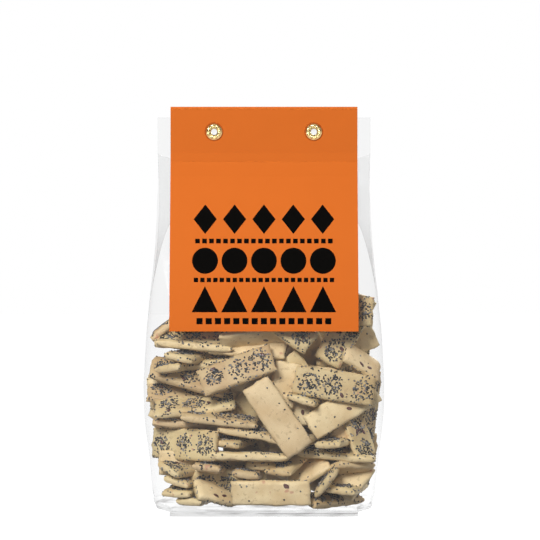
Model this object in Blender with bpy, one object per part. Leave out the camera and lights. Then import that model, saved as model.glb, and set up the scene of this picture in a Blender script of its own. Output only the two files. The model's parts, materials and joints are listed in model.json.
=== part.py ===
"""A clear block-bottomed bag of small seeded crackers, closed by a folded card header and two brass eyelets.

Metres, +Z up, the bag standing on its folded base at z = 0 with its front towards -Y. The bag and what fills
it are one solid: above the crackers it is the film's outline, and below it is a smaller core with the crackers
that press against the film standing out of it.
"""

import math
import random

import bmesh
import bpy
from mathutils import Matrix, Vector

MM = 0.001

# Card header: one sheet folded over the top of the bag.
CARD_WIDTH = 105 * MM
CARD_THICKNESS = 0.5 * MM
CARD_TOP = 229 * MM
CARD_BOTTOM = 104 * MM
CARD_COLUMNS = 6
FOLD_STEPS = 6
GAP = 0.35 * MM

# Bag: a turned-up outline, lofted through these sections from the base to the sealed mouth.
# Each has its height, half width, half depth, squareness and how far the side gusset tucks in.
BAG_TOP = 223 * MM
BAG_SECTIONS = [
    (0.0 * MM, 52.7 * MM, 22.0 * MM, 12.0, 0.0 * MM),
    (3.0 * MM, 52.7 * MM, 22.0 * MM, 12.0, 0.0 * MM),
    (3.6 * MM, 57.5 * MM, 25.5 * MM, 8.0, 0.0 * MM),
    (8.0 * MM, 61.0 * MM, 29.0 * MM, 5.0, 0.0 * MM),
    (30.0 * MM, 63.7 * MM, 32.2 * MM, 4.2, 0.0 * MM),
    (68.0 * MM, 67.1 * MM, 33.5 * MM, 3.8, 0.0 * MM),
    (100.0 * MM, 65.8 * MM, 32.3 * MM, 4.2, 0.0 * MM),
    (120.0 * MM, 64.4 * MM, 28.6 * MM, 5.5, 0.5 * MM),
    (140.0 * MM, 62.6 * MM, 22.6 * MM, 10.0, 2.5 * MM),
    (158.0 * MM, 61.2 * MM, 15.8 * MM, 20.0, 6.0 * MM),
    (176.0 * MM, 60.4 * MM, 8.8 * MM, 40.0, 15.0 * MM),
    (190.0 * MM, 60.0 * MM, 3.4 * MM, 80.0, 24.0 * MM),
    (198.0 * MM, 59.8 * MM, 0.9 * MM, 120.0, 14.0 * MM),
    (203.0 * MM, 59.8 * MM, 0.5 * MM, 160.0, 0.0 * MM),
    (BAG_TOP, 59.8 * MM, 0.5 * MM, 160.0, 0.0 * MM),
]
BAG_WIDE_STEPS = 14
BAG_DEEP_STEPS = 10
BAG_RING_SPACING = 7 * MM

# Crackers: flat baked oblongs, some broken, fused to the core at true size where they show.
CRACKER_LENGTH = 44 * MM
CRACKER_WIDTH = 17 * MM
CRACKER_THICKNESS = 5 * MM
CRACKER_CHAMFER = 0.8 * MM
WALL_DEPTH = 9 * MM
FILM_CLEARANCE = 0.4 * MM
FILL_TOP = 121 * MM

# Core: how far it lies inside the film at the front, back and sides, and the heights between which it comes in
# from the base and goes out again under the card's edge.
CORE_INSET_FRONT = 12 * MM
CORE_INSET_BACK = 6 * MM
CORE_INSET_SIDES = 5 * MM
CORE_START = (3.6 * MM, 8.0 * MM)
CORE_END = (96 * MM, 106 * MM)

# Eyelets: drawn brass tubes whose two ends are rolled over into flanges.
EYELET_SPAN = 56 * MM
EYELET_HEIGHT = 214.9 * MM
EYELET_BORE = 1.75 * MM
EYELET_BARREL = 2.6 * MM
EYELET_FLANGE = 4.65 * MM
EYELET_BACK_FLANGE = 4.3 * MM
EYELET_DOME = 0.9 * MM
EYELET_SEGMENTS = 32
EYELET_HOLE = EYELET_BARREL + GAP


def clear_scene():
    for thing in list(bpy.data.objects):
        bpy.data.objects.remove(thing, do_unlink=True)


def new_material(name, colour, roughness, metallic=0.0):
    material = bpy.data.materials.new(name)
    material.use_nodes = True
    shader = material.node_tree.nodes["Principled BSDF"]
    shader.inputs["Base Color"].default_value = (*colour, 1.0)
    shader.inputs["Roughness"].default_value = roughness
    shader.inputs["Metallic"].default_value = metallic
    return material


def object_from(builder, name, material=None):
    """Turns a bmesh into an object in the scene, with its faces pointing out."""
    bmesh.ops.recalc_face_normals(builder, faces=builder.faces)
    mesh = bpy.data.meshes.new(name)
    builder.to_mesh(mesh)
    builder.free()
    thing = bpy.data.objects.new(name, mesh)
    if material:
        mesh.materials.append(material)
    bpy.context.scene.collection.objects.link(thing)
    return thing


def apply_modifiers(thing):
    """Replaces the object's mesh with its modified one."""
    graph = bpy.context.evaluated_depsgraph_get()
    mesh = bpy.data.meshes.new_from_object(thing.evaluated_get(graph))
    thing.modifiers.clear()
    thing.data = mesh


def fill_hollows(thing):
    """Keeps only the largest shell of a mesh: a hollow that fusing sealed is filled and a loose scrap dropped."""
    builder = bmesh.new()
    builder.from_mesh(thing.data)
    shells, seen = [], set()
    for first in builder.verts:
        if first in seen:
            continue
        shell, edge = {first}, [first]
        while edge:
            for line in edge.pop().link_edges:
                for vertex in line.verts:
                    if vertex not in shell:
                        shell.add(vertex)
                        edge.append(vertex)
        seen |= shell
        shells.append(shell)
    shells.sort(key=len)
    for shell in shells[:-1]:
        bmesh.ops.delete(builder, geom=list(shell), context="VERTS")
    builder.to_mesh(thing.data)
    builder.free()


def section_at(height):
    """Half width, half depth, squareness and tuck of the bag at a height, on curves through its sections."""
    upper = next(i for i, row in enumerate(BAG_SECTIONS) if row[0] >= height or row is BAG_SECTIONS[-1])
    upper = max(upper, 1)
    below, above = BAG_SECTIONS[upper - 1], BAG_SECTIONS[upper]
    span = above[0] - below[0]
    share = min(max((height - below[0]) / span, 0.0), 1.0)
    return [hermite(upper, column, share, span) for column in range(1, 5)]


def hermite(upper, column, share, span):
    """One column of the sections between row upper - 1 and row upper, with slopes that never overshoot."""
    start, end = BAG_SECTIONS[upper - 1][column], BAG_SECTIONS[upper][column]
    m0, m1 = slope(upper - 1, column) * span, slope(upper, column) * span
    s2, s3 = share**2, share**3
    return (
        (2 * s3 - 3 * s2 + 1) * start
        + (s3 - 2 * s2 + share) * m0
        + (3 * s2 - 2 * s3) * end
        + (s3 - s2) * m1
    )


def slope(row, column):
    """The column's slope at a row: the harmonic mean of its neighbours' slopes, or level at a peak."""
    if row in (0, len(BAG_SECTIONS) - 1):
        return 0.0
    before, here, after = BAG_SECTIONS[row - 1], BAG_SECTIONS[row], BAG_SECTIONS[row + 1]
    left = (here[column] - before[column]) / (here[0] - before[0])
    right = (after[column] - here[column]) / (after[0] - here[0])
    if left * right <= 0:
        return 0.0
    return 2 * left * right / (left + right)


def unit_square():
    """Points once round a square that reaches from -1 to 1, corners among them."""
    wide = [2 * i / BAG_WIDE_STEPS for i in range(BAG_WIDE_STEPS)]
    deep = [2 * i / BAG_DEEP_STEPS for i in range(BAG_DEEP_STEPS)]
    back_and_left = [(1 - step, 1) for step in wide] + [(-1, 1 - step) for step in deep]
    return back_and_left + [(-x, -y) for x, y in back_and_left]


def core_share(height):
    """1 where the bag's surface is the core between the crackers, 0 where it is the film, eased between them."""
    rise = min(max((height - CORE_START[0]) / (CORE_START[1] - CORE_START[0]), 0.0), 1.0)
    fall = min(max((height - CORE_END[0]) / (CORE_END[1] - CORE_END[0]), 0.0), 1.0)
    share = rise * (1 - fall)
    return share * share * (3 - 2 * share)


def bag_ring(height):
    """The body's outline at a height: a squared oval whose sides fold in where the gusset tucks."""
    half_width, half_depth, squareness, tuck = section_at(height)
    half_width -= CORE_INSET_SIDES * core_share(height)
    ring = []
    for x, y in unit_square():
        reach = (abs(x) ** squareness + abs(y) ** squareness) ** (1 / squareness)
        pull = 1 - tuck / half_width * (1 - abs(y) / reach)
        inset = CORE_INSET_FRONT if y < 0 else CORE_INSET_BACK
        depth = half_depth - inset * core_share(height)
        ring.append(Vector((x / reach * half_width * pull, y / reach * depth, height)))
    return ring


def front_depth(x, height):
    """How far the bag's front stands out from its middle plane, at a width and a height."""
    half_width, half_depth, squareness, _ = section_at(height)
    share = min(abs(x) / half_width, 1.0)
    return half_depth * (1 - share**squareness) ** (1 / squareness)


def side_reach(y, height):
    """How far the bag's side stands out from its middle, at a depth and a height."""
    half_width, half_depth, squareness, tuck = section_at(height)
    share = min(abs(y) / half_depth, 1.0)
    pull = 1 - tuck / half_width * (1 - share)
    return half_width * pull * (1 - share**squareness) ** (1 / squareness)


def ring_heights():
    """Heights of the loft's rings: every section, with even steps between those that lie far apart."""
    heights = []
    for below, above in zip(BAG_SECTIONS, BAG_SECTIONS[1:]):
        steps = max(1, round((above[0] - below[0]) / BAG_RING_SPACING))
        heights += [below[0] + (above[0] - below[0]) * i / steps for i in range(steps)]
    return heights + [BAG_TOP]


def loft(rings):
    """A closed body through rings of equal length: the first is capped, and its cap is drawn up the rest."""
    builder = bmesh.new()
    cap = builder.faces.new([builder.verts.new(point) for point in rings[0]])
    base = builder.faces.new([builder.verts.new(point) for point in rings[0]])
    base.normal_flip()
    for ring in rings[1:]:
        made = bmesh.ops.extrude_face_region(builder, geom=[cap])
        builder.faces.remove(cap)
        cap = next(part for part in made["geom"] if isinstance(part, bmesh.types.BMFace))
        for vertex, point in zip((loop.vert for loop in cap.loops), ring):
            vertex.co = point
    bmesh.ops.remove_doubles(builder, verts=builder.verts, dist=0.01 * MM)
    return builder


def cracker_builder(length, width, thickness, chamfered):
    """One cracker lying along X, its face towards -Y."""
    builder = bmesh.new()
    bmesh.ops.create_cube(builder, size=1)
    bmesh.ops.scale(builder, vec=(length, thickness, width), verts=builder.verts)
    if not chamfered:
        return builder
    bmesh.ops.bevel(
        builder,
        geom=builder.edges[:],
        offset=CRACKER_CHAMFER,
        offset_type="OFFSET",
        segments=1,
        profile=0.5,
        affect="EDGES",
        material=-1,
    )
    return builder


def place_on_wall(name, reach, across, height, angle, length, width, turn):
    """A cracker standing out of the core to the film, turned by angle in the plane of the wall.

    reach gives the film's distance from the bag's middle, across and height the place on it, and turn is the
    wall's own turn about Z. The outer face follows the chord between the cracker's ends.
    """
    direction = Vector((math.cos(angle), math.sin(angle)))
    step = direction * length * 0.4
    depths = [reach(across + s * step.x, height + s * step.y) for s in (-1, 1)]
    up = [reach(across, height + s * width * 0.4) for s in (-1, 1)]
    yaw = math.atan2(depths[1] - depths[0], length * 0.8)
    lean = math.atan2(up[1] - up[0], width * 0.8)
    out = (sum(depths) + reach(across, height)) / 3 - FILM_CLEARANCE - WALL_DEPTH / 2
    builder = cracker_builder(length, width, WALL_DEPTH, False)
    place = (
        Matrix.Rotation(turn, 4, "Z")
        @ Matrix.Translation((across, -out, height))
        @ Matrix.Rotation(-angle, 4, "Y")
        @ Matrix.Rotation(-yaw, 4, "Z")
        @ Matrix.Rotation(-lean * math.cos(angle) ** 2, 4, "X")
    )
    bmesh.ops.transform(builder, matrix=place, verts=builder.verts)
    return object_from(builder, name)


def place_at_front(name, row):
    """A whole cracker where the front shows one, at true size."""
    length, across, depth, height, turn, tilt, yaw = row
    builder = cracker_builder(length * MM, CRACKER_WIDTH, CRACKER_THICKNESS, True)
    place = (
        Matrix.Translation((across * MM, depth * MM, height * MM))
        @ Matrix.Rotation(-math.radians(turn), 4, "Y")
        @ Matrix.Rotation(math.radians(yaw), 4, "Z")
        @ Matrix.Rotation(math.radians(tilt), 4, "X")
    )
    bmesh.ops.transform(builder, matrix=place, verts=builder.verts)
    return object_from(builder, name)


FACE, EDGE = CRACKER_WIDTH, CRACKER_THICKNESS

# Crackers that show through the front: length, then the middle's X, Y and Z, all in mm, then in degrees the turn
# of the long side from level, the tilt of the face about it and the swing of its right end to the back.
FRONT_CRACKERS = [
    (43, -15.0, -26.2, 82.0, 20, -25, 0),
    (43, 7.5, -29.0, 56.2, -56, 0, 0),
    (43, 39.1, -21.5, 73.5, -9, -8, 4),
    (43, 44.0, -17.0, 60.1, 30, 0, 18),
    (43, 44.9, -6.3, 104.4, 61, -5, 0),
    (43, 8.0, -20.3, 108.0, -34, -20, 0),
    (43, -44.8, -14.3, 40.0, 0, -5, -38),
    (43, 4.0, -23.6, 13.6, 0, 3, 0),
    (43, -38.6, -13.2, 61.6, 6, 50, 0),
    (43, -41.5, -11.7, 77.4, -15, -40, -5),
    (43, -24.9, -21.4, 54.8, -6, -80, 0),
    (43, -4.6, -18.2, 44.7, -8, -80, 0),
    (43, -8.2, -21.2, 33.8, -1, 85, 0),
    (43, 40.0, -7.8, 34.2, -5, -82, 0),
    (43, -16.4, -5.0, 41.0, 2, -85, 75),
    (43, 42.5, -3.7, 42.0, 5, -75, 70),
    (43, 25.0, -7.4, 65.3, -5, -80, 78),
    (23, -47.8, -12.4, 26.4, 3, -62, 60),
    (43, -28.4, -6.0, 27.1, -3, -68, 80),
    (43, -7.5, -6.7, 23.3, 2, -72, 82),
    (43, 16.5, -8.1, 32.6, 41, -75, 72),
    (23, 25.5, -15.7, 25.5, 30, -30, 0),
    (43, 38.2, -5.1, 22.8, 47, 85, 70),
    (23, -27.2, -20.5, 15.8, -16, -28, 0),
    (43, -43.5, -4.6, 18.6, -10, -62, 75),
    (43, -43.5, -0.6, 13.3, 0, -85, 75),
    (43, -37.5, -0.9, 8.6, 0, -85, 78),
    (43, 48.2, -1.7, 15.0, 6, -80, 78),
    (43, 35.6, -0.7, 8.5, 0, -70, 50),
    (23, 48.2, -6.2, 26.3, -5, 68, 35),
    (43, -38.8, -14.1, 95.3, -5, 88, 0),
    (43, -40.5, -6.6, 89.0, 2, -80, 70),
    (43, -38.2, -11.3, 100.2, 3, -60, 0),
    (43, -2.5, -19.5, 101.2, 9, 55, 0),
    (43, -7.0, -14.8, 95.5, -4, -30, 0),
    (43, -46.5, -2.7, 82.7, -4, 80, 70),
    (43, -42.5, -2.5, 68.5, -3, -50, 0),
    (43, -45.4, -7.0, 113.0, 41, 80, 0),
    (23, 54.9, -12.5, 85.5, -32, -15, 50),
    (23, 52.9, -10.1, 44.2, -70, -45, 0),
    (43, -3.1, -12.3, 28.4, -3, -70, 0),
    (43, -40.0, -7.6, 50.5, -3, 80, 0),
    (43, -37.0, -9.8, 27.0, -2, -2, 8),
]

# The unseen walls repeat the same heap by a rule: rows of lying crackers, some of them standing flat to the film.
WALL_ROW_PITCH = 6.8 * MM
WALL_FIRST_ROW = 9.5 * MM
WALL_SEED = 11


def wall_rows(chance, half_span, top, pitch):
    """Places on one wall: across, height, angle, length and visible height of each cracker."""
    height = WALL_FIRST_ROW
    while height < top:
        across = -half_span + chance.uniform(0.1, 0.6) * pitch
        while across < half_span:
            if chance.random() < 0.18 and 0.5 * pitch < height < top - 0.3 * pitch:
                yield across, height + 3 * MM, math.radians(chance.uniform(-60, 60)), 0.9 * pitch, FACE
            else:
                length = chance.uniform(0.65, 1.0) * pitch
                yield across, height, math.radians(chance.uniform(-9, 9)), length, EDGE
            across += pitch * chance.uniform(0.9, 1.1)
        height += WALL_ROW_PITCH


def add_crackers():
    """Every cracker that stands out of the bag's walls, in a collection of their own."""
    made = []
    for i, row in enumerate(FRONT_CRACKERS):
        made.append(place_at_front(f"front_{i}", row))
    chance = random.Random(WALL_SEED)
    for i, place in enumerate(wall_rows(chance, 50 * MM, CARD_BOTTOM - 12 * MM, CRACKER_LENGTH)):
        made.append(place_on_wall(f"back_{i}", front_depth, *place, math.pi))
    for side, turn in (("right", math.pi / 2), ("left", -math.pi / 2)):
        for i, place in enumerate(wall_rows(chance, 19 * MM, FILL_TOP - 14 * MM, 26 * MM)):
            made.append(place_on_wall(f"{side}_{i}", side_reach, *place, turn))
    heap = bpy.data.collections.new("crackers")
    for thing in made:
        bpy.context.scene.collection.objects.unlink(thing)
        heap.objects.link(thing)
    bpy.context.scene.collection.children.link(heap)
    return heap


def eyelet_places():
    return {"eyelet_left": -EYELET_SPAN / 2, "eyelet_right": EYELET_SPAN / 2}


def add_hole_cutter(x):
    """A round cutter along Y, through both leaves of the card and the bag's mouth between them."""
    builder = bmesh.new()
    bmesh.ops.create_cone(
        builder,
        cap_ends=True,
        segments=EYELET_SEGMENTS,
        radius1=EYELET_HOLE,
        radius2=EYELET_HOLE,
        depth=20 * MM,
    )
    place = Matrix.Translation((x, 0, EYELET_HEIGHT)) @ Matrix.Rotation(math.pi / 2, 4, "X")
    bmesh.ops.transform(builder, matrix=place, verts=builder.verts)
    cutter = object_from(builder, f"hole_cutter_{x:+.3f}")
    cutter.hide_render = True
    cutter.display_type = "WIRE"
    return cutter


def cut_holes(thing, cutters):
    for cutter in cutters:
        cut = thing.modifiers.new(cutter.name, "BOOLEAN")
        cut.operation = "DIFFERENCE"
        cut.object = cutter


def add_bag(cutters):
    """The body lofted from base to mouth, with the crackers at its walls fused on and the eyelet holes cut."""
    colour = new_material("filled_bag", (0.72, 0.55, 0.33), 0.45)
    bag = object_from(loft([bag_ring(height) for height in ring_heights()]), "bag", colour)
    heap = add_crackers()
    join = bag.modifiers.new("join crackers", "BOOLEAN")
    join.operation = "UNION"
    join.operand_type = "COLLECTION"
    join.collection = heap
    apply_modifiers(bag)
    fill_hollows(bag)
    for thing in list(heap.objects):
        bpy.data.objects.remove(thing, do_unlink=True)
    bpy.data.collections.remove(heap)
    cut_holes(bag, cutters)
    return bag


def card_path():
    """The card's middle sheet from the side, as Y and Z: up the bag's front, over the fold and down its back.

    Its leaves take the bag's own ring heights, so that they follow the same straight runs as the film.
    """
    offset = GAP + CARD_THICKNESS / 2
    radius = BAG_SECTIONS[-1][2] + offset
    fold_centre = CARD_TOP - CARD_THICKNESS / 2 - radius
    heights = [CARD_BOTTOM] + [height for height in ring_heights() if height > CARD_BOTTOM] + [fold_centre]
    leaf = [(section_at(min(height, BAG_TOP))[1] + offset, height) for height in heights]
    turns = [math.pi * i / FOLD_STEPS for i in range(1, FOLD_STEPS)]
    fold = [(-radius * math.cos(turn), fold_centre + radius * math.sin(turn)) for turn in turns]
    return [(-y, z) for y, z in leaf] + fold + [(y, z) for y, z in reversed(leaf)]


def add_card(cutters):
    """The header: one sheet that lies on the bag's front, folds over its mouth and lies on its back."""
    path = card_path()
    builder = bmesh.new()
    made = bmesh.ops.create_grid(builder, x_segments=CARD_COLUMNS, y_segments=len(path) - 1, size=0.5)
    for vertex in made["verts"]:
        y, z = path[round((vertex.co.y + 0.5) * (len(path) - 1))]
        vertex.co = (vertex.co.x * CARD_WIDTH, y, z)
    card = object_from(builder, "header_card", new_material("orange_card", (0.75, 0.17, 0.02), 0.6))
    thicken = card.modifiers.new("card thickness", "SOLIDIFY")
    thicken.thickness = CARD_THICKNESS
    thicken.offset = 0
    thicken.use_even_offset = True
    cut_holes(card, cutters)
    return card


def eyelet_profile():
    """The eyelet's wall in section, as radius and Y: a domed front flange, the barrel, a flatter back flange."""
    seat = BAG_SECTIONS[-1][2] + GAP + CARD_THICKNESS + GAP
    front_middle, front_half = (EYELET_FLANGE + EYELET_BORE) / 2, (EYELET_FLANGE - EYELET_BORE) / 2
    back_middle = (EYELET_BACK_FLANGE + EYELET_BORE) / 2
    back_half = (EYELET_BACK_FLANGE - EYELET_BORE) / 2
    turns = [math.pi * i / 6 for i in range(7)]
    front = [(front_middle - front_half * math.cos(t), -seat - EYELET_DOME * math.sin(t)) for t in turns]
    back = [(back_middle + back_half * math.cos(t), seat + 0.7 * EYELET_DOME * math.sin(t)) for t in turns]
    return front + [(EYELET_BARREL, -seat), (EYELET_BARREL, seat)] + back


def add_eyelet(name, x, material):
    """A tube through the card and the bag's mouth, turned from its section about an axis along Y."""
    builder = bmesh.new()
    points = [builder.verts.new((radius, y, 0)) for radius, y in eyelet_profile()]
    edges = [builder.edges.new(pair) for pair in zip(points, points[1:] + points[:1])]
    bmesh.ops.spin(
        builder,
        geom=points + edges,
        cent=(0, 0, 0),
        axis=(0, 1, 0),
        angle=2 * math.pi,
        steps=EYELET_SEGMENTS,
        use_merge=True,
    )
    bmesh.ops.remove_doubles(builder, verts=builder.verts, dist=0.001 * MM)
    eyelet = object_from(builder, name, material)
    eyelet.data.shade_smooth()
    eyelet.data.set_sharp_from_angle(angle=math.radians(40))
    eyelet.location = (x, 0, EYELET_HEIGHT)
    return eyelet


def main():
    clear_scene()
    cutters = [add_hole_cutter(x) for x in eyelet_places().values()]
    add_bag(cutters)
    add_card(cutters)
    brass = new_material("brass", (0.80, 0.60, 0.28), 0.3, 1.0)
    for name, x in eyelet_places().items():
        add_eyelet(name, x, brass)


main()
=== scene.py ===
"""A clear bag of small seeded crackers with a folded orange header card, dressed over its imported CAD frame.

Metres, +Z up, front towards -Y. The sections follow the bag as it is made and filled.
"""

import math
import random

import bmesh
import bpy
from mathutils import Matrix, Vector, noise
from mathutils.bvhtree import BVHTree
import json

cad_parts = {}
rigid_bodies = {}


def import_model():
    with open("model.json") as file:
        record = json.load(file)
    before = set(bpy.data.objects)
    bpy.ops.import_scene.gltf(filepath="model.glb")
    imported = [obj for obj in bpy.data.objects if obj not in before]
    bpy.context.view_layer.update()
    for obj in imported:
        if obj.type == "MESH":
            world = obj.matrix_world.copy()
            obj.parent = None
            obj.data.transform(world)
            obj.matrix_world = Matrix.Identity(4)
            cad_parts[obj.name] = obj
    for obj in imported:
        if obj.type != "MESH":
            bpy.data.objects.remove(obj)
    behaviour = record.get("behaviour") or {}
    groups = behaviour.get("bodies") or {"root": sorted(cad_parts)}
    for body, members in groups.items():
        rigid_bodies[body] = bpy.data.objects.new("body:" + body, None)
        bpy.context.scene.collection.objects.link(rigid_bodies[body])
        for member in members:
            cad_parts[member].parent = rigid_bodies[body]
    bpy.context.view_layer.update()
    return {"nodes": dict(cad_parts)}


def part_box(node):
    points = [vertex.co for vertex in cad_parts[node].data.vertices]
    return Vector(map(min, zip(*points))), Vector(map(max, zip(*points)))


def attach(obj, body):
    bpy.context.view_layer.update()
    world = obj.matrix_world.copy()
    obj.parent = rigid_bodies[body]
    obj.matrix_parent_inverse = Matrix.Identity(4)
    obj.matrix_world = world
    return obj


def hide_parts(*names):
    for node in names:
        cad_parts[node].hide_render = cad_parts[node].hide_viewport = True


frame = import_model()

# The film bag
# One tube of clear film, pleated down both sides and folded flat under the base. The crackers press it out
# into a squared barrel. Above them it closes like a wedge into the flat mouth that the card holds shut.

MM = 0.001
_, bag_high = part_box("bag")
MOUTH_TOP = bag_high.z
MOUTH_BOTTOM = 203 * MM
# Each section has its height, half width, half depth, squareness and how far the side pleat tucks in.
FILM_SECTIONS = [
    (0.2 * MM, 52.7 * MM, 22.0 * MM, 12.0, 0.0 * MM),
    (3.0 * MM, 52.9 * MM, 22.2 * MM, 12.0, 0.0 * MM),
    (4.0 * MM, 59.6 * MM, 26.6 * MM, 8.0, 0.0 * MM),
    (8.0 * MM, 61.6 * MM, 29.6 * MM, 5.0, 0.0 * MM),
    (30.0 * MM, 64.3 * MM, 32.8 * MM, 4.2, 0.0 * MM),
    (68.0 * MM, 67.8 * MM, 34.1 * MM, 3.8, 0.0 * MM),
    (100.0 * MM, 66.2 * MM, 32.4 * MM, 4.2, 0.0 * MM),
    (120.0 * MM, 64.5 * MM, 28.6 * MM, 5.5, 0.5 * MM),
    (140.0 * MM, 62.6 * MM, 22.6 * MM, 10.0, 2.5 * MM),
    (158.0 * MM, 61.2 * MM, 15.8 * MM, 20.0, 6.0 * MM),
    (176.0 * MM, 60.4 * MM, 8.8 * MM, 40.0, 15.0 * MM),
    (190.0 * MM, 60.0 * MM, 3.4 * MM, 80.0, 24.0 * MM),
    (198.0 * MM, 59.8 * MM, 0.9 * MM, 120.0, 14.0 * MM),
    (MOUTH_BOTTOM, 59.8 * MM, 0.4 * MM, 160.0, 0.0 * MM),
    (MOUTH_TOP, 59.8 * MM, 0.4 * MM, 160.0, 0.0 * MM),
]
FILM_POINTS_ROUND = 240
FILM_ROW_HEIGHT = 1.1 * MM
FILM_BASE_ROWS = 8
PANEL_SHARE = 0.3
DENT_DEPTH = 0.35 * MM
DENTED_UP_TO = 125 * MM
FOLD_DEPTH = 0.5 * MM
FOLD_PITCH = 1.1 * MM
FOLDS_HEIGHT = 11 * MM
FOLDS_REACH = 8 * MM
DRAPE_DEPTH = 0.35 * MM
DRAPED_FROM = 120 * MM
DRAPED_FULLY = 170 * MM
DRAPED_UP_TO = 200 * MM
BASE_PANEL_TOP = 3.5 * MM


def film_slope(row, column):
    """How fast one column of the sections changes at a row: level at the ends and at a peak."""
    if row in (0, len(FILM_SECTIONS) - 1):
        return 0.0
    before, here, after = FILM_SECTIONS[row - 1 : row + 2]
    left = (here[column] - before[column]) / (here[0] - before[0])
    right = (after[column] - here[column]) / (after[0] - here[0])
    if left * right <= 0:
        return 0.0
    return 2 * left * right / (left + right)


def film_section(height):
    """Half width, half depth, squareness and tuck at a height, on curves that never overshoot."""
    last = len(FILM_SECTIONS) - 1
    upper = max(next((i for i, row in enumerate(FILM_SECTIONS) if row[0] >= height), last), 1)
    below, above = FILM_SECTIONS[upper - 1], FILM_SECTIONS[upper]
    span = above[0] - below[0]
    share = min(max((height - below[0]) / span, 0.0), 1.0)
    found = []
    for column in range(1, 5):
        start, end = below[column], above[column]
        leaving, arriving = film_slope(upper - 1, column) * span, film_slope(upper, column) * span
        rise = 3 * share**2 - 2 * share**3
        bend = (share**3 - 2 * share**2 + share) * leaving + (share**3 - share**2) * arriving
        found.append(start + (end - start) * rise + bend)
    return found


def film_outline(turn, height):
    """The film's place at a share of a full turn, from the middle of the back, and at a height."""
    half_width, half_depth, squareness, tuck = film_section(height)
    quarter = (turn + 0.5 * PANEL_SHARE) % 1.0
    if quarter >= 0.5:
        side, quarter = -1, quarter - 0.5
    else:
        side = 1
    if quarter < PANEL_SHARE:
        x, y = 1 - 2 * quarter / PANEL_SHARE, 1
    else:
        x, y = -1, 1 - 2 * (quarter - PANEL_SHARE) / (0.5 - PANEL_SHARE)
    reach = (abs(x) ** squareness + abs(y) ** squareness) ** (1 / squareness)
    pull = 1 - tuck / half_width * (1 - abs(y) / reach)
    return Vector((side * x / reach * half_width * pull, side * y / reach * half_depth, height))


def front_depth(x, height):
    """How far the film's front stands out from the bag's middle plane."""
    half_width, half_depth, squareness, _ = film_section(height)
    share = min(abs(x) / half_width, 0.999)
    return half_depth * (1 - share**squareness) ** (1 / squareness)


def crumple(place):
    """How far the film is pushed out or in: dents over the crackers, folds round the base, drapes above."""
    dents = DENT_DEPTH * noise.noise(place * 55)
    low = max(0.0, 1 - abs(place.z - FOLDS_HEIGHT) / FOLDS_REACH)
    folds = FOLD_DEPTH * low * math.sin(place.z / FOLD_PITCH + 5 * noise.noise(place * 70))
    high = min(max((place.z - DRAPED_FROM) / (DRAPED_FULLY - DRAPED_FROM), 0.0), 1.0)
    high *= place.z < DRAPED_UP_TO
    drapes = DRAPE_DEPTH * high * noise.noise(Vector((place.x * 160, place.y * 60, place.z * 18)))
    return dents * (place.z < DENTED_UP_TO) + folds + drapes


builder = bmesh.new()
film_rows = round((MOUTH_TOP - FILM_SECTIONS[0][0]) / FILM_ROW_HEIGHT)
bmesh.ops.create_grid(
    builder, x_segments=FILM_POINTS_ROUND, y_segments=film_rows + 2 * FILM_BASE_ROWS, size=0.5
)
for vertex in builder.verts:
    turn = vertex.co.x + 0.5
    row = round((vertex.co.y + 0.5) * (film_rows + 2 * FILM_BASE_ROWS)) - FILM_BASE_ROWS
    share = min(max(row / film_rows, 0.0), 1.0)
    height = FILM_SECTIONS[0][0] + share * (MOUTH_TOP - FILM_SECTIONS[0][0])
    place = film_outline(turn, height)
    if row < 0:
        shrink = 1 + row / FILM_BASE_ROWS
        place = Vector((place.x * shrink, place.y * shrink, height))
    elif row > film_rows:
        shrink = 1 - (row - film_rows) / FILM_BASE_ROWS
        place = Vector((place.x, place.y * shrink, height))
    elif BASE_PANEL_TOP < height < MOUTH_BOTTOM:
        outward = Vector((place.x / 2, place.y, 0)).normalized()
        place += outward * crumple(place)
    vertex.co = place
bmesh.ops.remove_doubles(builder, verts=builder.verts, dist=0.002 * MM)
bmesh.ops.recalc_face_normals(builder, faces=builder.faces)
film_mesh = bpy.data.meshes.new("film")
builder.to_mesh(film_mesh)
builder.free()
film_mesh.shade_smooth()
film = bpy.data.objects.new("film", film_mesh)
bpy.context.scene.collection.objects.link(film)


class Signal:
    """An output of a finish's nodes. Python's operators on it add Math nodes."""

    def __init__(self, finish, socket):
        self.finish = finish
        self.socket = socket

    def maths(self, operation, *operands):
        inputs = {f"_{i}": value for i, value in enumerate(operands)}
        return self.finish.node("Math", {"operation": operation}, **inputs)

    def __add__(self, other):
        return self.maths("ADD", self, other)

    def __radd__(self, other):
        return self.maths("ADD", other, self)

    def __sub__(self, other):
        return self.maths("SUBTRACT", self, other)

    def __rsub__(self, other):
        return self.maths("SUBTRACT", other, self)

    def __mul__(self, other):
        return self.maths("MULTIPLY", self, other)

    def __rmul__(self, other):
        return self.maths("MULTIPLY", other, self)

    def __pow__(self, other):
        return self.maths("POWER", self, other)

    def __abs__(self):
        return self.maths("ABSOLUTE", self)

    def __lt__(self, other):
        return self.maths("LESS_THAN", self, other)

    def least(self, other):
        return self.maths("MINIMUM", self, other)

    def between(self, low, high):
        """Rises smoothly from 0 at low to 1 at high."""
        ramp = {"interpolation_type": "SMOOTHSTEP"}
        return self.finish.node("MapRange", ramp, Value=self, From_Min=low, From_Max=high)


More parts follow.
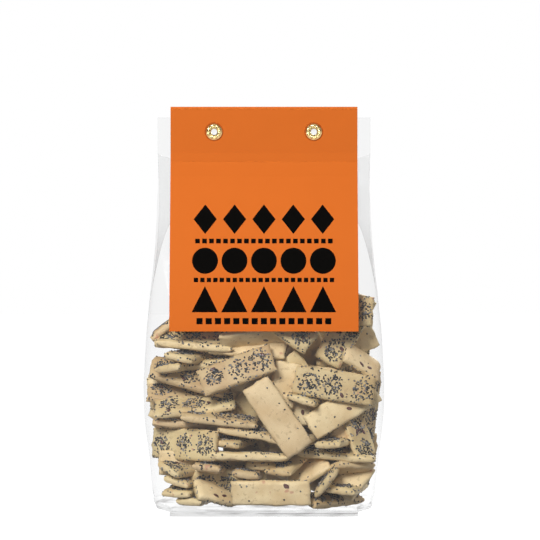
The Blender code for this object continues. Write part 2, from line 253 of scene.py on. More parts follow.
class Finish:
    """A material made of nodes. Each call of node adds one: its type, its settings, then its inputs."""

    def __init__(self, name, **constants):
        self.material = bpy.data.materials.new(name)
        self.material.use_nodes = True
        self.tree = self.material.node_tree
        self.shader = self.tree.nodes["Principled BSDF"]
        self.place = self.node("TexCoord", output="Object")
        for socket, value in constants.items():
            self.shader.inputs[socket.replace("_", " ")].default_value = value

    def node(self, kind, settings=None, output=None, **inputs):
        made = self.tree.nodes.new("ShaderNode" + kind)
        for setting, value in (settings or {}).items():
            setattr(made, setting, value)
        for socket, value in inputs.items():
            name = int(socket[1:]) if socket.startswith("_") else socket.replace("_", " ")
            self.feed(made.inputs[name], value)
        if output is None:
            return Signal(self, next(socket for socket in made.outputs if socket.enabled))
        return Signal(self, made.outputs[output])

    def feed(self, target, value):
        if isinstance(value, Signal):
            self.tree.links.new(value.socket, target)
        elif isinstance(value, tuple) and len(value) == 3 and target.type == "RGBA":
            target.default_value = (*value, 1.0)
        else:
            target.default_value = value

    def axes(self):
        """The three parts of the object's own coordinates."""
        parts = self.node("SeparateXYZ", None, "X", Vector=self.place).socket.node.outputs
        return [Signal(self, part) for part in parts]

    def mix(self, share, first, second):
        """A colour between two others."""
        return self.node("Mix", {"data_type": "RGBA"}, _0=share, _6=first, _7=second)

    def grain(self, size, detail=2.0, place=None):
        """Noise from 0 to 1 whose lumps are about this size."""
        vector = self.place if place is None else place
        return self.node("TexNoise", None, "Fac", Vector=vector, Scale=0.5 / size, Detail=detail)

    def wear(self, socket, value):
        """Feeds one of the shader's own sockets."""
        self.feed(self.shader.inputs[socket], value)

    def relief(self, height, depth, strength=1.0):
        """Bumps the surface by a height signal from 0 to 1 over this depth."""
        return self.node("Bump", None, "Normal", Height=height, Distance=depth, Strength=strength)

    def paint(self, thing):
        thing.data.materials.clear()
        thing.data.materials.append(self.material)


clear = Finish("clear film", Base_Color=(0.95, 0.95, 0.95, 1), Roughness=0.1, IOR=1.5)
crinkle = clear.relief(clear.grain(3 * MM, 3.0), 0.3 * MM, 0.45)
clear.wear("Normal", crinkle)
facing = clear.node("LayerWeight", None, "Facing", Blend=0.35, Normal=crinkle)
pane = clear.node("BsdfTransparent", None, "BSDF", Color=(0.955, 0.956, 0.956))
smoky = clear.node("BsdfTransparent", None, "BSDF", Color=(0.93, 0.935, 0.94))
window = clear.node("MixShader", None, "Shader", _0=(facing**3).least(0.7), _1=pane, _2=smoky)
across, _, up = clear.axes()
drawn_out = clear.node(
    "VectorMath", {"operation": "MULTIPLY"}, "Vector", _0=clear.place, _1=(0.3, 0.3, 2.0)
)
# Painted shade of the film's folds: grey streaks low down, heavier towards the sides, and a broken band along
# the base fold let less light through the film.
streaks = clear.grain(2.2 * MM, 3.0, drawn_out).between(0.48, 0.7)
low_fold_shade = (1 - up.between(5 * MM, 10 * MM)) * streaks * (0.4 + 0.5 * abs(across).between(48 * MM, 58 * MM))
broken = clear.grain(6 * MM, 2.0, drawn_out).between(0.5, 0.58)
base_fold_shade = (1 - abs(up - 1.9 * MM).between(0.1 * MM, 0.45 * MM)) * broken * 0.65
painted_crease_shade = clear.node("BsdfTransparent", None, "BSDF", Color=(0.5, 0.49, 0.49))
window = clear.node("MixShader", None, "Shader", _0=low_fold_shade + base_fold_shade, _1=window, _2=painted_crease_shade)
gloss = Signal(clear, clear.shader.outputs["BSDF"])
sheen = 0.035 + 0.35 * facing**4
both = clear.node("MixShader", None, "Shader", _0=sheen, _1=window, _2=gloss)
clear.tree.links.new(both.socket, clear.tree.nodes["Material Output"].inputs["Surface"])
clear.paint(film)
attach(film, "root")
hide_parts("bag")

# The crackers
# Thin oblongs cut from a seeded dough and baked twice, so the cut edges are pale and the faces are browner.
# Poppy seeds lie in loose clusters on one face, with a few flax seeds among them.

CRACKER_LENGTH = 44 * MM
SHORT_PIECE = 0.55
# The width of each kind, in mm.
CRACKER_WIDTHS = [17.0, 17.3, 16.8, 15.8, 15.5, 15.4, 17.0, 15.2, 17.8, 14.2, 16.2, 15.0, 16.6, 15.6]
CRACKER_THICKNESS = 4.7 * MM
CRACKER_ROUNDING = 1.5 * MM
CRACKER_KINDS = len(CRACKER_WIDTHS)
LUMP_DEPTH = 0.55 * MM
PORE_DEPTH = 0.22 * MM
POPPY_RADIUS = 0.6 * MM
POPPY_LIFT = 0.1 * MM
PATCHES = 3
PATCH_RADIUS = 6.0 * MM
PATCH_SEEDS = (76, 98)
STRAY_SEEDS = 40
BACK_SEEDS = 6
EDGE_SEEDS = 44
END_SEEDS = 10
FLAX_SEEDS = 3
FLAX_SIZE = Vector((1.7, 0.4, 1.0)) * MM
STEEPEST = 0.3


def cut_cracker(chance, length, width, slant):
    """One cracker along X with its seeded face towards -Y. Slant shortens its far end across its width."""
    builder = bmesh.new()
    bmesh.ops.create_grid(builder, x_segments=22, y_segments=7, size=0.5)
    bmesh.ops.rotate(builder, matrix=Matrix.Rotation(math.pi / 2, 3, "X"), verts=builder.verts)
    bmesh.ops.scale(builder, vec=(length, 1, width), verts=builder.verts)
    bmesh.ops.translate(builder, vec=(0, -CRACKER_THICKNESS / 2, 0), verts=builder.verts)
    made = bmesh.ops.extrude_face_region(builder, geom=builder.faces[:])["geom"]
    back = [part for part in made if isinstance(part, bmesh.types.BMVert)]
    bmesh.ops.translate(builder, vec=(0, CRACKER_THICKNESS, 0), verts=back)
    bmesh.ops.recalc_face_normals(builder, faces=builder.faces)
    bmesh.ops.bevel(
        builder,
        geom=[
            line
            for line in builder.edges
            if line.calc_face_angle(0) > 1 and line.verts[0].co.y == line.verts[1].co.y
        ],
        offset=CRACKER_ROUNDING,
        offset_type="OFFSET",
        segments=3,
        profile=0.5,
        affect="EDGES",
        material=-1,
    )
    cut = builder.verts.layers.float.new("cut")
    under = builder.verts.layers.float.new("under")
    batch = Vector([chance.uniform(0, 90) for _ in range(3)])
    bow = chance.uniform(-0.8, 0.8) * MM
    twist = chance.uniform(-0.06, 0.06)
    for vertex in builder.verts:
        x, y, z = vertex.co
        vertex[cut] = min(1.0, (CRACKER_THICKNESS / 2 - abs(y)) / CRACKER_ROUNDING)
        vertex[under] = float(y > 0)
        puff = 1.1 - 0.42 * (2 * x / length) ** 8 - 0.25 * (2 * z / width) ** 4
        lumps = noise.noise_vector(vertex.co * 150 + batch) * LUMP_DEPTH
        pores = noise.noise_vector(vertex.co * 480 + batch) * PORE_DEPTH
        torn = 0.05 * noise.noise(Vector((z * 300, x * 20, batch.x)))
        ragged = 1 + (x > 0) * slant * (z / width - 0.5) + torn
        shrink = 1 - 0.05 * (2 * x / length) ** 2
        lift = bow * (2 * x / length) ** 2 + twist * x * z / length * 2
        vertex.co = Vector((x * ragged, y * puff + lift, z * shrink)) + lumps + pores
    bmesh.ops.triangulate(builder, faces=builder.faces, quad_method="SHORT_EDGE")
    return builder


def scatter(chance, length, width):
    """Where one cracker's poppy seeds fell, and from which side: in patches, astray and on the cut edges."""
    front, back = Vector((0, 1, 0)), Vector((0, -1, 0))
    count = max(1, round(PATCHES * length / CRACKER_LENGTH))
    for patch in range(count):
        across = length * ((patch + 0.5) / count - 0.5) + chance.gauss(0, 1.0 * MM)
        up = chance.gauss(0, 0.8 * MM)
        radius = PATCH_RADIUS * chance.uniform(0.85, 1.15)
        for _ in range(chance.randint(*PATCH_SEEDS)):
            away = radius * math.sqrt(chance.random()) * chance.uniform(0.85, 1.1)
            turn = chance.uniform(0, math.tau)
            yield Vector((across + away * math.cos(turn), 0, up + away * math.sin(turn))), front
    for _ in range(round(STRAY_SEEDS * length / CRACKER_LENGTH)):
        yield Vector((length * chance.uniform(-0.5, 0.5), 0, width * chance.uniform(-0.5, 0.5))), front
    for _ in range(BACK_SEEDS):
        yield Vector((length * chance.uniform(-0.5, 0.5), 0, width * chance.uniform(-0.5, 0.5))), back
    for _ in range(round(EDGE_SEEDS * length / CRACKER_LENGTH)):
        depth = CRACKER_THICKNESS * (0.5 * chance.random() ** 1.5 - 0.5)
        edge = Vector((0, 0, chance.choice((-1, 1))))
        yield Vector((length * chance.uniform(-0.5, 0.5), depth, 0)), edge
    for _ in range(END_SEEDS):
        depth = CRACKER_THICKNESS * (0.6 * chance.random() - 0.4)
        yield Vector((0, depth, width * chance.uniform(-0.5, 0.5))), Vector((chance.choice((-1, 1)), 0, 0))


def sow(chance, cracker, length, width):
    """The seeds of one cracker, half sunk in its surface."""
    surface = BVHTree.FromBMesh(cracker)
    poppy, flax = bmesh.new(), bmesh.new()
    for spot, way in scatter(chance, length, width):
        spin = Matrix.Rotation(chance.uniform(0, math.pi), 4, "Z")
        radius = POPPY_RADIUS * chance.uniform(0.8, 1.15)
        hit, normal, _, _ = surface.ray_cast(spot - way * 50 * MM, way)
        if hit is None or normal.dot(way) > -STEEPEST:
            continue
        lie = normal.to_track_quat("Z", "Y").to_matrix().to_4x4() @ spin
        place = Matrix.Translation(hit + normal * POPPY_LIFT) @ lie @ Matrix.Diagonal((1.15, 0.85, 0.7, 1))
        bmesh.ops.create_uvsphere(poppy, u_segments=5, v_segments=2, radius=radius, matrix=place)
    for _ in range(FLAX_SEEDS):
        x, z = length * chance.uniform(-0.45, 0.45), width * chance.uniform(-0.4, 0.4)
        side = chance.choice((-1, -1, 1))
        lie = Matrix.Rotation(chance.uniform(0, math.pi), 4, "Y") @ Matrix.Diagonal((*FLAX_SIZE, 1))
        hit, normal, _, _ = surface.ray_cast(Vector((x, side * 20 * MM, z)), Vector((0, -side, 0)))
        if hit is None or abs(normal.y) < 0.5:
            continue
        bmesh.ops.create_icosphere(flax, subdivisions=2, radius=1, matrix=Matrix.Translation(hit) @ lie)
    return poppy, flax


def into_mesh(builder, name):
    made = bpy.data.meshes.new(name)
    builder.to_mesh(made)
    builder.free()
    made.shade_smooth()
    return made


# Without a seed, noise_vector takes its offsets from the clock.
noise.seed_set(4)
chance = random.Random(7)
cracker_kinds = []
for kind in range(CRACKER_KINDS):
    slant = (0, 0, 0, 0, 0.5, 0)[kind % 6]
    length = CRACKER_LENGTH * (chance.uniform(0.96, 1.03) if kind % 6 != 5 else SHORT_PIECE)
    width = CRACKER_WIDTHS[kind] * MM
    builder = cut_cracker(chance, length, width, slant)
    poppy, flax = sow(chance, builder, length, width)
    meshes = [into_mesh(builder, "cut"), into_mesh(poppy, "poppy"), into_mesh(flax, "flax")]
    cracker_kinds.append((meshes, Vector((length, CRACKER_THICKNESS, width)) / 2))

# The crackers against the front, listed one by one: across and height in mm, turn of the long side from
# level, tilt of the seeded face (0 to the front, -90 up, 180 to the back), yaw of the long side, all in
# degrees, how far back from the film in mm, and kind.
FRONT_CRACKERS = [
    (-15.2, 82.0, 20, -25, 0, 0, 0),
    (7.6, 56.2, -56, 180, 0, 0, 1),
    (39.1, 73.5, -9, -8, 4, 1, 2),
    (44.0, 60.1, 30, 180, 18, 0, 3),
    (46.3, 104.4, 61, -5, 0, 0, 6),
    (8.0, 108.5, -33, -20, 0, 3, 7),
    (-46.0, 40.0, 0, -5, -38, 1, 8),
    (4.0, 13.8, 0, 190, 0, 1, 9),
    (-38.6, 61.8, 6, -62, 0, 2, 12),
    (-41.5, 77.4, -15, -40, -5, 3, 13),
    (-25.2, 54.8, -6, -80, 0, 0, 0),
    (-4.6, 47.0, -9, -80, 0, 2, 6),
    (-8.2, 33.8, -1, -95, 0, 1, 7),
    (40.3, 34.2, -5, -82, 0, 1, 2),
    (-16.4, 41.0, 2, -85, 75, 1, 1),
    (42.5, 41.6, 4, -88, 70, 1, 3),
    (25.0, 65.3, -5, -80, 78, 2, 8),
    (-48.0, 26.4, 3, -62, 60, 1, 11),
    (-28.4, 27.1, -4, -88, 80, 1, 12),
    (-7.5, 23.6, -3, -88, 82, 1, 13),
    (16.6, 32.6, 41, -50, 55, 0, 0),
    (25.0, 24.5, 30, 128, 0, 9, 5),
    (38.5, 22.8, 47, -95, 70, 0, 2),
    (-27.5, 13.2, -14, 125, 28, 1, 11),
    (-43.5, 18.6, -15, -88, 75, 1, 3),
    (-43.5, 13.3, 0, -85, 75, 2, 6),
    (-37.5, 8.6, 0, -85, 78, 2, 7),
    (50.0, 15.0, 6, -80, 78, 1, 8),
    (38.0, 8.5, 0, -70, 50, 1, 9),
    (51.0, 26.3, -5, -112, 35, 1, 11),
    (54.5, 19.5, 50, 160, 30, 5, 5),
    (-38.8, 95.3, -5, -92, 0, 1, 0),
    (-40.5, 89.0, 2, -80, 70, 1, 1),
    (-38.2, 100.2, 3, -60, 0, 3, 2),
    (-2.5, 101.2, 9, -125, 0, 2, 3),
    (-9.0, 96.5, -4, 150, 0, 11, 6),
    (-46.5, 82.7, -4, -100, 70, 2, 7),
    (-42.5, 68.5, -3, -50, 0, 8, 8),
    (-45.9, 113.0, 41, -100, 0, 1, 9),
    (55.5, 86.2, -34, 125, 20, 2, 11),
    (11.5, 74.0, 78, 180, 0, 9, 5),
    (56.0, 44.2, -70, -45, 0, 1, 5),
    (-60.0, 57.0, -80, 185, 30, 4, 1),
    (58.0, 103.0, -66, 168, 0, 5, 5),
    (2.0, 28.4, -3, -85, 0, 11, 5),
    (-52.0, 51.0, -30, 175, 10, 8, 7),
    (-40.0, 50.5, -3, -100, 0, 6, 9),
    (58.0, 62.0, 70, 190, 20, 8, 12),
    (61.0, 57.0, 84, 60, 0, 10, 1),
    (-37.0, 29.0, -2, 178, 8, 9, 9),
    (-20.0, 19.0, 3, 5, 0, 16, 6),
    (30.0, 60.0, 10, 180, 0, 11, 2),
    (38.5, 116.5, -6, -5, 0, 3, 8),
    (-24.0, 87.0, 6, -75, 0, 11, 3),
    (43.0, 37.5, -2, 185, 0, 13, 6),
]


def corners(place, half):
    signs = [(a, b, c) for a in (-1, 1) for b in (-1, 1) for c in (-1, 1)]
    return [place @ Vector((a * half.x, b * half.y, c * half.z)) for a, b, c in signs]


def meet(place_a, half_a, place_b, half_b):
    """True if two boxes overlap: no axis of either, or across an edge of each, parts them."""
    axes_a = [place_a.to_3x3().col[i].copy() for i in range(3)]
    axes_b = [place_b.to_3x3().col[i].copy() for i in range(3)]
    between = place_b.translation - place_a.translation
    crossed = [a.cross(b) for a in axes_a for b in axes_b]
    for axis in axes_a + axes_b + [line.normalized() for line in crossed if line.length > 0.01]:
        reach_a = sum(abs(axes_a[i].dot(axis)) * half_a[i] for i in range(3))
        reach_b = sum(abs(axes_b[i].dot(axis)) * half_b[i] for i in range(3))
        if abs(between.dot(axis)) > reach_a + reach_b:
            return False
    return True


TUCK_TRIES = 8
TUCK_GAP = 0.8 * MM


def tuck_in(place, half):
    """Moves a box that sticks out through the film sideways until it is inside."""
    for _ in range(TUCK_TRIES):
        out, worst = 1.0, None
        for spot in corners(place, half):
            half_width, half_depth, squareness, _ = film_section(spot.z)
            x, y = spot.x / (half_width - TUCK_GAP), spot.y / (half_depth - TUCK_GAP)
            reach = (abs(x) ** squareness + abs(y) ** squareness) ** (1 / squareness)
            if reach > out:
                out, worst = reach, spot
        if worst is None:
            return
        place.translation -= Vector((worst.x, worst.y, 0)) * (1 - 1 / out)


FILM_GAP = 0.6
BACK_STEPS = 8
BACK_STEP = 0.5
SNUG = 0.9

laid = []
for across, height, turn, tilt, yaw, back, kind in FRONT_CRACKERS:
    half = cracker_kinds[kind][1]
    hold = (
        Matrix.Rotation(-math.radians(turn), 4, "Y")
        @ Matrix.Rotation(math.radians(yaw), 4, "Z")
        @ Matrix.Rotation(math.radians(tilt), 4, "X")
    )
    place = Matrix.Translation((across * MM, 0, height * MM)) @ hold
    touching = max(-front_depth(spot.x, spot.z) - spot.y for spot in corners(place, half))
    tries = []
    for step in range(BACK_STEPS):
        place.translation.y = touching + (FILM_GAP + back + BACK_STEP * step) * MM
        crossed = sum(meet(place, half * SNUG, other, wide * SNUG) for other, wide, _ in laid)
        tries.append((crossed, place.translation.y))
    place.translation.y = min(tries)[1]
    tuck_in(place, half)
    laid.append((place, half, kind))

# The heap behind them
# The rest are poured in, and come to rest as a rigid-body simulation leaves them: a hundred times life size,
# in a mould of the bag's inside, with the front ones held still.

POURED = 132
LIFE_SIZE = 100
FILL_TOP = 121 * MM
HEAP_LEFT_TOP = 106 * MM
SETTLING_FRAMES = 130
TAPPED_FRAMES = 95
TAPPING = 90
FRONT_LAYER = 8 * MM
LEFT_GAP = 3 * MM
LANES = 3
LANE_WIDTH = 36 * MM
SIDE_WIDTH = 22 * MM
DROP_HEIGHT = 135 * MM
DROP_STEP = 9 * MM
GRAVITY = -98.1
MOULD_TOP = 900 * MM
BOX_SHARE = 0.97
HEAP_LEFT_EDGE = -50 * MM
HEAP_TOP = FILL_TOP + 4 * MM
HEAP_BOTTOM = 4 * MM

settle = bpy.data.collections.new("settle")
bpy.ops.rigidbody.world_add()
world = bpy.context.scene.rigidbody_world
world.collection = settle
world.substeps_per_frame = 30
world.solver_iterations = 12
world.point_cache.frame_end = SETTLING_FRAMES
bpy.context.scene.gravity = (0, 0, GRAVITY)
bpy.context.scene.collection.children.link(settle)


def cast(mesh, place, shape, kind):
    body = bpy.data.objects.new("cast", mesh)
    body.matrix_world = place
    settle.objects.link(body)
    body.rigid_body.type = kind
    body.rigid_body.collision_shape = shape
    body.rigid_body.use_margin = True
    body.rigid_body.collision_margin = 0.01
    body.rigid_body.friction = 0.25
    body.rigid_body.restitution = 0.0
    return body


def blown_up(place):
    grown = place.copy()
    grown.translation = place.translation * LIFE_SIZE
    return grown


builder = bmesh.new()
mould_heights = [6 * MM, 9 * MM, 18 * MM, 30 * MM, 50 * MM, 68 * MM, 85 * MM, 100 * MM, 110 * MM, FILL_TOP]
bmesh.ops.create_grid(builder, x_segments=48, y_segments=len(mould_heights) + 1, size=0.5)
for vertex in builder.verts:
    row = round((vertex.co.y + 0.5) * (len(mould_heights) + 1)) - 1
    height = mould_heights[min(max(row, 0), len(mould_heights) - 1)]
    place = film_outline(vertex.co.x + 0.5, height)
    if row < 0:
        place = Vector((0, 0, height))
    elif row == len(mould_heights):
        place.z = MOULD_TOP
    if place.y < 0:
        place.y += FRONT_LAYER * abs(place.y) / film_section(height)[1]
    if place.x < 0:
        place.x += LEFT_GAP * abs(place.x) / film_section(height)[0]
    vertex.co = place * LIFE_SIZE
bmesh.ops.remove_doubles(builder, verts=builder.verts, dist=0.001)
cast(into_mesh(builder, "mould"), Matrix.Identity(4), "MESH", "PASSIVE")

box_meshes = []
for _, half in cracker_kinds:
    builder = bmesh.new()
    bmesh.ops.create_cube(builder, size=2)
    bmesh.ops.scale(builder, vec=half * LIFE_SIZE * BOX_SHARE, verts=builder.verts)
    box_meshes.append(into_mesh(builder, "box"))
for place, _, kind in laid:
    cast(box_meshes[kind], blown_up(place), "BOX", "PASSIVE")
fall = random.Random(5)
poured = []
for i in range(POURED):
    kind = fall.randrange(CRACKER_KINDS)
    lane, level = i % LANES - 1, i // LANES
    spin = Matrix.Rotation(fall.uniform(0, math.tau), 4, "Z") @ Matrix.Rotation(fall.gauss(0, 0.5), 4, "Y")
    flat = Matrix.Rotation(fall.choice((-1, 1)) * math.pi / 2 + fall.gauss(0, 0.5), 4, "X")
    across = lane * LANE_WIDTH + fall.uniform(-4, 4) * MM
    start = Matrix.Translation((across, (level % 2 - 0.5) * SIDE_WIDTH, DROP_HEIGHT + DROP_STEP * level))
    poured.append((cast(box_meshes[kind], blown_up(start @ spin @ flat), "BOX", "ACTIVE"), kind))
for step in range(1, SETTLING_FRAMES + 1):
    tap = TAPPING * (step < TAPPED_FRAMES)
    bpy.context.scene.gravity = (tap * math.sin(1.9 * step), tap * math.sin(1.3 * step), GRAVITY)
    bpy.context.scene.frame_set(step)
graph = bpy.context.evaluated_depsgraph_get()
for body, kind in poured:
    place = body.evaluated_get(graph).matrix_world.copy()
    place.translation /= LIFE_SIZE
    half = cracker_kinds[kind][1]
    tips = corners(place, half)
    heaped = HEAP_TOP if min(tip.x for tip in tips) > HEAP_LEFT_EDGE else HEAP_LEFT_TOP
    if max(tip.z for tip in tips) < heaped and min(tip.z for tip in tips) > HEAP_BOTTOM:
        tuck_in(place, half)
        laid.append((place, half, kind))
bpy.ops.rigidbody.world_remove()
for body in list(settle.objects):
    bpy.data.objects.remove(body, do_unlink=True)
bpy.data.collections.remove(settle)
bpy.context.scene.frame_set(1)
bpy.context.scene.gravity = (0, 0, -9.81)

# Each laid cracker is a copy of its kind's mesh and seeds, with its own degree of browning. Seeds deep inside
# the heap, which can't be seen, are left out.

SHELL = 0.7
SHELL_TOP = FILL_TOP - 20 * MM
tray = {name: [] for name in ("crackers_front", "crackers_heap", "poppy_front", "poppy_heap", "flax_seeds")}
for number, (place, _, kind) in enumerate(laid):
    meshes, _ = cracker_kinds[kind]
    half_width, half_depth, _, _ = film_section(place.translation.z)
    outer = max(abs(place.translation.x) / half_width, abs(place.translation.y) / half_depth)
    names = ["crackers_front", "poppy_front", "flax_seeds"]
    if number >= len(FRONT_CRACKERS):
        names = ["crackers_heap", "poppy_heap", "flax_seeds"]
        if outer < SHELL and place.translation.z < SHELL_TOP:
            names = names[:1]
    tone = (0.9 + 0.893 * number) % 1
    for mesh, piece in zip(meshes, names):
        copy = mesh.copy()
        copy.transform(place)
        tones = copy.attributes.new("tone", "FLOAT", "POINT")
        tones.data.foreach_set("value", [tone] * len(copy.vertices))
        tray[piece].append(copy)

baked = {}
for piece, meshes in tray.items():
    builder = bmesh.new()
    for mesh in meshes:
        builder.from_mesh(mesh)
        bpy.data.meshes.remove(mesh)
    bmesh.ops.triangulate(builder, faces=builder.faces)
    baked[piece] = bpy.data.objects.new(piece, into_mesh(builder, piece))
    bpy.context.scene.collection.objects.link(baked[piece])
    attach(baked[piece], "root")
    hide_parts("bag")

crumb = Finish("baked cracker", Roughness=0.55, Specular_IOR_Level=0.35)
cut = crumb.node("Attribute", {"attribute_name": "cut"}, "Fac")
under = crumb.node("Attribute", {"attribute_name": "under"}, "Fac")
tone = crumb.node("Attribute", {"attribute_name": "tone"}, "Fac")
blotches = crumb.grain(7 * MM, 3.0).between(0.35, 0.7)
specks = crumb.grain(1.2 * MM, 2.0)
top = crumb.mix(blotches, (0.68, 0.54, 0.285), (0.56, 0.40, 0.19))
below = crumb.mix(blotches, (0.84, 0.67, 0.39), (0.70, 0.515, 0.27))
face = crumb.mix(under, top, below)
body = crumb.mix(cut.between(0.25, 0.9), face, (0.78, 0.61, 0.335))
browned = crumb.mix(tone.between(0.55, 1.0) * 0.42, body, (0.40, 0.22, 0.11))
berry = crumb.grain(2.2 * MM, 1.0).between(0.7, 0.78)
stained = crumb.mix(berry * 0.55, browned, (0.48, 0.16, 0.12))
speckled = crumb.mix((specks < 0.36) * 0.3, stained, (0.36, 0.23, 0.12))
crumb.wear("Base Color", speckled)
rough_crumb = crumb.grain(0.9 * MM, 3.0) * 0.6 + crumb.grain(3 * MM, 2.0) * 0.4
crumb.wear("Normal", crumb.relief(rough_crumb, 0.5 * MM, 0.7))
for piece in ("crackers_front", "crackers_heap"):
    crumb.paint(baked[piece])

poppy_finish = Finish("poppy seed", Roughness=0.35)
dusty = poppy_finish.grain(1.1 * MM).between(0.42, 0.75)
poppy_finish.wear("Base Color", poppy_finish.mix(dusty, (0.014, 0.013, 0.014), (0.36, 0.35, 0.34)))
for piece in ("poppy_front", "poppy_heap"):
    poppy_finish.paint(baked[piece])

flax_finish = Finish("flax seed", Roughness=0.3)
streaks = flax_finish.grain(1 * MM)
flax_finish.wear("Base Color", flax_finish.mix(streaks, (0.05, 0.02, 0.018), (0.16, 0.06, 0.045)))
flax_finish.paint(baked["flax_seeds"])

# The card header
# One sheet of uncoated orange card, creased over the bag's mouth. Its front is printed in solid black: three
# rows of plain shapes with bands of small squares between them.

card = frame["nodes"]["header_card"]
EYELET_SPAN = 56 * MM
EYELET_HEIGHT = 214.9 * MM
orange = Finish("orange card", Roughness=0.8, Specular_IOR_Level=0.12)
across, _, up = orange.axes()
hole = ((abs(across) - EYELET_SPAN / 2) ** 2 + (up - EYELET_HEIGHT) ** 2) ** 0.5
# A dent pressed round each eyelet, bumped into the card, with painted shade in the same ring: the card's
# colour is darkened there.
dent_and_painted_shade = 1 - hole.between(4.9 * MM, 5.6 * MM)
fibre = orange.grain(0.6 * MM, 3.0)
cloudy = orange.grain(9 * MM, 2.0)
inked = orange.mix(cloudy, (0.625, 0.138, 0.015), (0.595, 0.130, 0.014))
orange.wear("Base Color", orange.mix(dent_and_painted_shade * 0.75, inked, (0.36, 0.065, 0.006)))
orange.wear("Normal", orange.relief(fibre * 0.1 - dent_and_painted_shade, 0.3 * MM, 0.5))
orange.paint(card)

INK_PROUD = 0.04 * MM
PRINT_COLUMNS = 5
PRINT_PITCH = 16.4
# Each row of large shapes has its motif, their width and their low and high edges, in mm.
PRINT_ROWS = [
    ("lozenge", 13.0, 157.8, 174.2),
    ("disc", 14.4, 135.8, 150.2),
    ("peak", 14.6, 114.6, 129.0),
]
# Each band of small squares has its low and high edges in mm.
PRINT_BANDS = [(152.6, 155.2), (131.2, 133.6), (108.0, 111.4)]
PRINT_HALF_WIDTH = 40.0
BLOCK_PITCH = 1.5
shapes = []
for kind, width, low, high in PRINT_ROWS:
    for column in range(PRINT_COLUMNS):
        middle = (column - (PRINT_COLUMNS - 1) / 2) * PRINT_PITCH
        shapes.append((kind, middle - width / 2, middle + width / 2, low, high))
for low, high in PRINT_BANDS:
    side = high - low
    count = int(2 * PRINT_HALF_WIDTH / (BLOCK_PITCH * side))
    for number in range(count):
        left = (number - count / 2) * BLOCK_PITCH * side + (BLOCK_PITCH - 1) / 2 * side
        shapes.append(("block", left, left + side, low, high))


def shape_point(kind, u, v):
    """Where a point of the square from -1 to 1 goes in a shape of this kind."""
    if kind == "disc":
        return u * math.sqrt(1 - v * v / 2), v * math.sqrt(1 - u * u / 2)
    if kind == "peak":
        return u * (1 - v) / 2, v
    if kind == "lozenge":
        return u * (1 - abs(v)), v
    return u, v


card_form = bmesh.new()
card_form.from_mesh(card.data)
bmesh.ops.transform(card_form, matrix=card.matrix_world, verts=card_form.verts)
card_surface = BVHTree.FromBMesh(card_form)
card_form.free()
ink = bmesh.new()
for kind, left, right, low, high in shapes:
    columns, rows = 16 if kind == "disc" else 1, max(2, round(high - low))
    made = bmesh.ops.create_grid(ink, x_segments=columns, y_segments=rows, size=1)
    for vertex in made["verts"]:
        u, v = shape_point(kind, vertex.co.x, vertex.co.y)
        x = (left + right + u * (right - left)) / 2 * MM
        z = (low + high + v * (high - low)) / 2 * MM
        hit, _, _, _ = card_surface.ray_cast(Vector((x, -0.2, z)), Vector((0, 1, 0)))
        vertex.co = Vector((x, hit.y - INK_PROUD, z))
bmesh.ops.remove_doubles(ink, verts=ink.verts, dist=0.002 * MM)
bmesh.ops.triangulate(ink, faces=ink.faces)
card_print = bpy.data.objects.new("card_print", into_mesh(ink, "card_print"))
bpy.context.scene.collection.objects.link(card_print)
black = Finish("black ink", Roughness=0.8, Specular_IOR_Level=0.03)
black.wear("Base Color", black.mix(black.grain(0.8 * MM), (0.001, 0.0009, 0.0008), (0.003, 0.0025, 0.002)))
black.paint(card_print)
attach(card_print, "root")

# The eyelets
# Two brass eyelets pressed through card and film, their fronts rolled over in a ring that the press left
# dimpled.

CLAWS = 9
brass = Finish("brass", Metallic=1.0)
across, _, up = brass.axes()
away, above = abs(across) - EYELET_SPAN / 2, up - EYELET_HEIGHT
claws = brass.node("Math", {"operation": "SINE"}, _0=above.maths("ARCTAN2", above, away) * CLAWS) * 0.5 + 0.5
radius = (away**2 + above**2) ** 0.5
ring = claws * (1 - radius.between(3.4 * MM, 4.1 * MM))
tarnish = brass.grain(1.2 * MM, 3.0)
gold = brass.mix(tarnish, (0.86, 0.66, 0.32), (0.72, 0.52, 0.22))
# The brass is painted darker over the claw dimples, as painted shade in their hollows.
brass.wear("Base Color", brass.mix(ring * 0.6, gold, (0.42, 0.38, 0.16)))
brass.wear("Roughness", 0.2 + 0.2 * tarnish)
brass.wear("Normal", brass.relief(ring, 0.5 * MM, 0.8))
for name in ("eyelet_left", "eyelet_right"):
    brass.paint(frame["nodes"][name])

# The table and the light
# A white table lit from below, so that it throws no shadow, with softboxes in front, at both sides and above.

builder = bmesh.new()
bmesh.ops.create_grid(builder, x_segments=1, y_segments=1, size=3)
for vertex in builder.verts:
    vertex.co.z = -0.5 * MM
floor = bpy.data.objects.new("floor", into_mesh(builder, "floor"))
floor.visible_diffuse = False
bpy.context.scene.collection.objects.link(floor)
glass = Finish("lit table", Base_Color=(0, 0, 0, 1), Emission_Color=(1, 1, 1, 1), Emission_Strength=1.0)
glass.paint(floor)


def soft_light(name, place, width, height, power):
    lamp = bpy.data.lights.new(name, "AREA")
    lamp.shape = "RECTANGLE"
    lamp.size, lamp.size_y = width, height
    lamp.energy = power
    holder = bpy.data.objects.new(name, lamp)
    holder.location = place
    holder.rotation_euler = (Vector((0, 0, 0.11)) - Vector(place)).to_track_quat("-Z", "Y").to_euler()
    bpy.context.scene.collection.objects.link(holder)


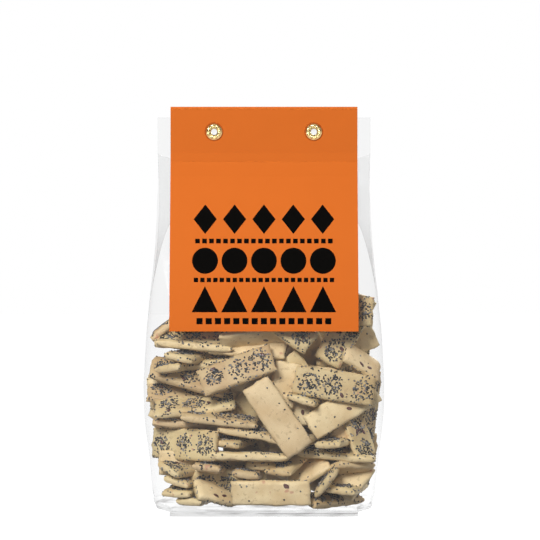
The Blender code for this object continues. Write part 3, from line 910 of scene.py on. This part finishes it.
soft_light("key", (-0.45, -1.3, 0.8), 0.45, 0.45, 25.5)
soft_light("fill", (0.9, -0.9, 0.4), 0.8, 0.8, 1.8)
soft_light("top", (0.0, 0.1, 1.3), 1.0, 1.0, 4)
soft_light("left strip", (-1.1, 0.25, 0.4), 0.25, 1.0, 4)
soft_light("right strip", (1.1, 0.25, 0.4), 0.25, 1.0, 4)
soft_light("back", (0.5, 1.3, 0.85), 0.6, 0.6, 17)
sky = bpy.data.worlds.new("studio")
sky.use_nodes = True
sky.node_tree.nodes["Background"].inputs["Color"].default_value = (1, 1, 1, 1)
backdrop = sky.node_tree.nodes["Background"]
seen = sky.node_tree.nodes.new("ShaderNodeLightPath").outputs["Is Camera Ray"]
glow = sky.node_tree.nodes.new("ShaderNodeMapRange")
glow.inputs["To Min"].default_value = 0.08
glow.inputs["To Max"].default_value = 1.0
sky.node_tree.links.new(seen, glow.inputs["Value"])
sky.node_tree.links.new(glow.outputs["Result"], backdrop.inputs["Strength"])
bpy.context.scene.world = sky
bpy.context.scene.view_settings.view_transform = "Standard"

# The camera
# A long lens straight in front, about level with the bag's middle.

PHOTO_SIDE = 540
BAG_MIDDLE_COLUMN = 264
BAG_BASE_ROW = 514
METRES_PER_PIXEL = 0.5625 * MM
CAMERA_DISTANCE = 2.2
CAMERA_LIFT = math.radians(1.5)
right = (PHOTO_SIDE / 2 - BAG_MIDDLE_COLUMN) * METRES_PER_PIXEL
middle = Vector((right, 0, (BAG_BASE_ROW - PHOTO_SIDE / 2) * METRES_PER_PIXEL))
lens = bpy.data.cameras.new("camera")
lens.sensor_width = 36
lens.lens = 36 * CAMERA_DISTANCE / (PHOTO_SIDE * METRES_PER_PIXEL)
lens.clip_end = 20
camera = bpy.data.objects.new("camera", lens)
back = Vector((0, -math.cos(CAMERA_LIFT), math.sin(CAMERA_LIFT)))
camera.location = middle + back * CAMERA_DISTANCE
camera.rotation_euler = (-back).to_track_quat("-Z", "Y").to_euler()
bpy.context.scene.collection.objects.link(camera)
bpy.context.scene.camera = camera
